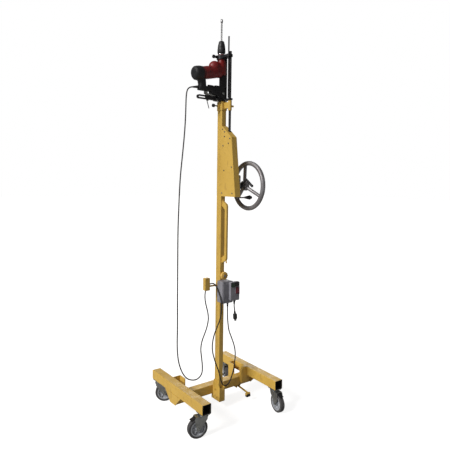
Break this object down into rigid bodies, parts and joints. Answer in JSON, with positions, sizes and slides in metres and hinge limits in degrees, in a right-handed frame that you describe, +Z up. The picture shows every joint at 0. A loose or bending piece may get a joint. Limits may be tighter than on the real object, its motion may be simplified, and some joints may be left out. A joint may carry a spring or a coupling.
{
  "type": "overhead drill lift",
  "caption": "Wheeled stand with a two-piece mast, a hand-fed carriage and an upright hammer drill for drilling overhead.",
  "frame": {"origin": "on the floor under the mast's axis", "axes": "+X to the handwheel side, the operator's right; -Y to the front, where the feed casing and switch box are; +Z up"},
  "size_m": [0.7274, 0.7086, 2.611],
  "materials": {
    "yellow_paint": "satin",
    "zinc": "satin",
    "polished_steel": "polished",
    "cast_alloy": "satin",
    "dark_steel": "satin",
    "bit_steel": "satin",
    "grey_box": "matte",
    "tool_red": "satin",
    "stop_red": "satin",
    "button_green": "satin",
    "black_plastic": "matte",
    "knob_plastic": "gloss",
    "grey_rubber": "matte",
    "black_rubber": "matte",
    "wheel_centre": "matte",
    "cord_jacket": "matte"
  },
  "bodies": {
    "base": {"side_rails": "yellow_paint", "cross_tube": "yellow_paint", "rail_brackets": "yellow_paint", "mast_foot": "yellow_paint", "caster_plates": "zinc", "lower_mast": "yellow_paint", "control_box": "grey_box", "box_cover": "grey_box", "switch_housing": "grey_box", "cord_glands": "black_plastic", "cord_hook": "yellow_paint", "drill_cord_lower": "cord_jacket", "supply_cord": "cord_jacket", "supply_plug": "black_rubber"},
    "foot_pedal_arm": {"foot_pedal": "yellow_paint", "pedal_pad": "black_rubber"},
    "mast_knob": {"mast_lock_knob": "knob_plastic"},
    "start_switch": {"start_button": "button_green"},
    "stop_switch": {"stop_paddle": "stop_red"},
    "mast_slider": {"upper_mast": "yellow_paint", "mast_spigot": "zinc", "grab_handle": "yellow_paint", "feed_casing": "yellow_paint", "casing_screws": "zinc", "shaft_bearing": "zinc", "drive_chain": "dark_steel", "top_collar": "yellow_paint", "drill_cord_upper": "cord_jacket"},
    "collar_thumbscrew": {"collar_screw": "black_plastic"},
    "idler": {"idler_sprocket": "dark_steel"},
    "hand_drive": {"drive_shaft": "polished_steel", "handwheel": "cast_alloy"},
    "spinner": {"spinner_grip": "black_plastic"},
    "feed_lock": {"feed_lock_lever": "dark_steel"},
    "carriage": {"feed_rod": "dark_steel", "drill_cradle": "dark_steel", "nose_bracket": "dark_steel", "cradle_bolts": "zinc", "drill_gearbox": "tool_red", "drill_motor": "tool_red", "drill_handle": "black_plastic"},
    "nose_thumbscrew": {"nose_screw": "black_plastic"},
    "depth_stop": {"depth_rod": "dark_steel"},
    "trigger": {"drill_trigger": "black_plastic"},
    "spindle": {"chuck": "dark_steel", "drill_bit": "bit_steel"},
    "swivel_front_left": {"fork_front_left": "zinc"},
    "wheel_front_left": {"hub_front_left": "wheel_centre", "tread_front_left": "grey_rubber"},
    "brake_front_left": {"brake_front_left": "black_plastic"},
    "swivel_front_right": {"fork_front_right": "zinc"},
    "wheel_front_right": {"hub_front_right": "wheel_centre", "tread_front_right": "grey_rubber"},
    "brake_front_right": {"brake_front_right": "black_plastic"},
    "swivel_rear_left": {"fork_rear_left": "zinc"},
    "wheel_rear_left": {"hub_rear_left": "wheel_centre", "tread_rear_left": "grey_rubber"},
    "swivel_rear_right": {"fork_rear_right": "zinc"},
    "wheel_rear_right": {"hub_rear_right": "wheel_centre", "tread_rear_right": "grey_rubber"}
  },
  "joints": [
    {"name": "swivel_front_left", "type": "hinge", "parent": "base", "child": "swivel_front_left", "pos_m": [-0.2964, -0.2525, 0.145], "axis": [0, 0, 1], "continuous": true},
    {"name": "roll_front_left", "type": "hinge", "parent": "swivel_front_left", "child": "wheel_front_left", "pos_m": [-0.33357, -0.2446, 0.0635], "axis": [-0.2079, -0.9781, 0], "continuous": true},
    {"name": "brake_front_left", "type": "hinge", "parent": "swivel_front_left", "child": "brake_front_left", "pos_m": [-0.34139, -0.24294, 0.1315], "axis": [-0.2079, -0.9781, 0], "range_deg": [0, 8]},
    {"name": "swivel_front_right", "type": "hinge", "parent": "base", "child": "swivel_front_right", "pos_m": [0.2964, -0.2525, 0.145], "axis": [0, 0, 1], "continuous": true},
    {"name": "roll_front_right", "type": "hinge", "parent": "swivel_front_right", "child": "wheel_front_right", "pos_m": [0.29111, -0.29013, 0.0635], "axis": [0.9903, -0.1392, 0], "continuous": true},
    {"name": "brake_front_right", "type": "hinge", "parent": "swivel_front_right", "child": "brake_front_right", "pos_m": [0.29, -0.29805, 0.1315], "axis": [0.9903, -0.1392, 0], "range_deg": [0, 8]},
    {"name": "swivel_rear_left", "type": "hinge", "parent": "base", "child": "swivel_rear_left", "pos_m": [-0.2964, 0.316, 0.145], "axis": [0, 0, 1], "continuous": true},
    {"name": "roll_rear_left", "type": "hinge", "parent": "swivel_rear_left", "child": "wheel_rear_left", "pos_m": [-0.26453, 0.2953, 0.0635], "axis": [0.5446, 0.8387, 0], "continuous": true},
    {"name": "swivel_rear_right", "type": "hinge", "parent": "base", "child": "swivel_rear_right", "pos_m": [0.2964, 0.316, 0.145], "axis": [0, 0, 1], "continuous": true},
    {"name": "roll_rear_right", "type": "hinge", "parent": "swivel_rear_right", "child": "wheel_rear_right", "pos_m": [0.2774, 0.28309, 0.0635], "axis": [0.866, -0.5, 0], "continuous": true},
    {"name": "foot_pedal", "type": "hinge", "parent": "base", "child": "foot_pedal_arm", "pos_m": [0.22, 0.07, 0.072], "axis": [1, 0, 0], "range_deg": [0, 12], "stiffness_Nm_per_rad": 6, "springref_deg": -14.32},
    {"name": "mast_lock", "type": "hinge", "parent": "base", "child": "mast_knob", "pos_m": [0, -0.0254, 0.937], "axis": [0, -1, 0], "range_deg": [0, 720]},
    {"name": "start_press", "type": "slide", "parent": "base", "child": "start_switch", "axis": [0, 1, 0], "range_m": [0, 0.003], "stiffness_N_per_m": 400, "springref_m": -0.001},
    {"name": "stop_press", "type": "hinge", "parent": "base", "child": "stop_switch", "pos_m": [0.062, -0.11, 0.862], "axis": [1, 0, 0], "range_deg": [0, 10], "stiffness_Nm_per_rad": 0.3, "springref_deg": -11.46},
    {"name": "mast_raise", "type": "slide", "parent": "base", "child": "mast_slider", "axis": [0, 0, 1], "range_m": [0, 0.6]},
    {"name": "collar_clamp", "type": "hinge", "parent": "mast_slider", "child": "collar_thumbscrew", "pos_m": [-0.05, 0, 2.058], "axis": [1, 0, 0], "range_deg": [0, 360]},
    {"name": "idler_turn", "type": "hinge", "parent": "mast_slider", "child": "idler", "pos_m": [0, -0.125, 1.782], "axis": [1, 0, 0], "range_deg": [0, 997]},
    {"name": "handwheel_turn", "type": "hinge", "parent": "mast_slider", "child": "hand_drive", "pos_m": [0.08, -0.14, 1.541], "axis": [1, 0, 0], "range_deg": [0, 433]},
    {"name": "spinner_turn", "type": "hinge", "parent": "hand_drive", "child": "spinner", "pos_m": [0.215, -0.0384, 1.4599], "axis": [1, 0, 0], "continuous": true},
    {"name": "feed_lock_turn", "type": "hinge", "parent": "mast_slider", "child": "feed_lock", "pos_m": [0.055, -0.14, 1.541], "axis": [1, 0, 0], "range_deg": [-20, 25]},
    {"name": "carriage_feed", "type": "slide", "parent": "mast_slider", "child": "carriage", "axis": [0, 0, 1], "range_m": [0, 0.2]},
    {"name": "nose_clamp", "type": "hinge", "parent": "carriage", "child": "nose_thumbscrew", "pos_m": [-0.05, 0.005, 2.368], "axis": [1, 0, 0], "range_deg": [0, 360]},
    {"name": "depth_set", "type": "slide", "parent": "carriage", "child": "depth_stop", "axis": [0, 0, 1], "range_m": [0, 0.25]},
    {"name": "trigger_press", "type": "slide", "parent": "carriage", "child": "trigger", "axis": [0, 0, -1], "range_m": [0, 0.005], "stiffness_N_per_m": 500, "springref_m": -0.002},
    {"name": "spindle_turn", "type": "hinge", "parent": "carriage", "child": "spindle", "pos_m": [-0.006, 0.005, 2.4], "axis": [0, 0, 1], "continuous": true}
  ],
  "couplings": [
    {"joint": "handwheel_turn", "follows": "carriage_feed", "rad_per_m": 37.736},
    {"joint": "idler_turn", "follows": "carriage_feed", "rad_per_m": 86.957}
  ]
}
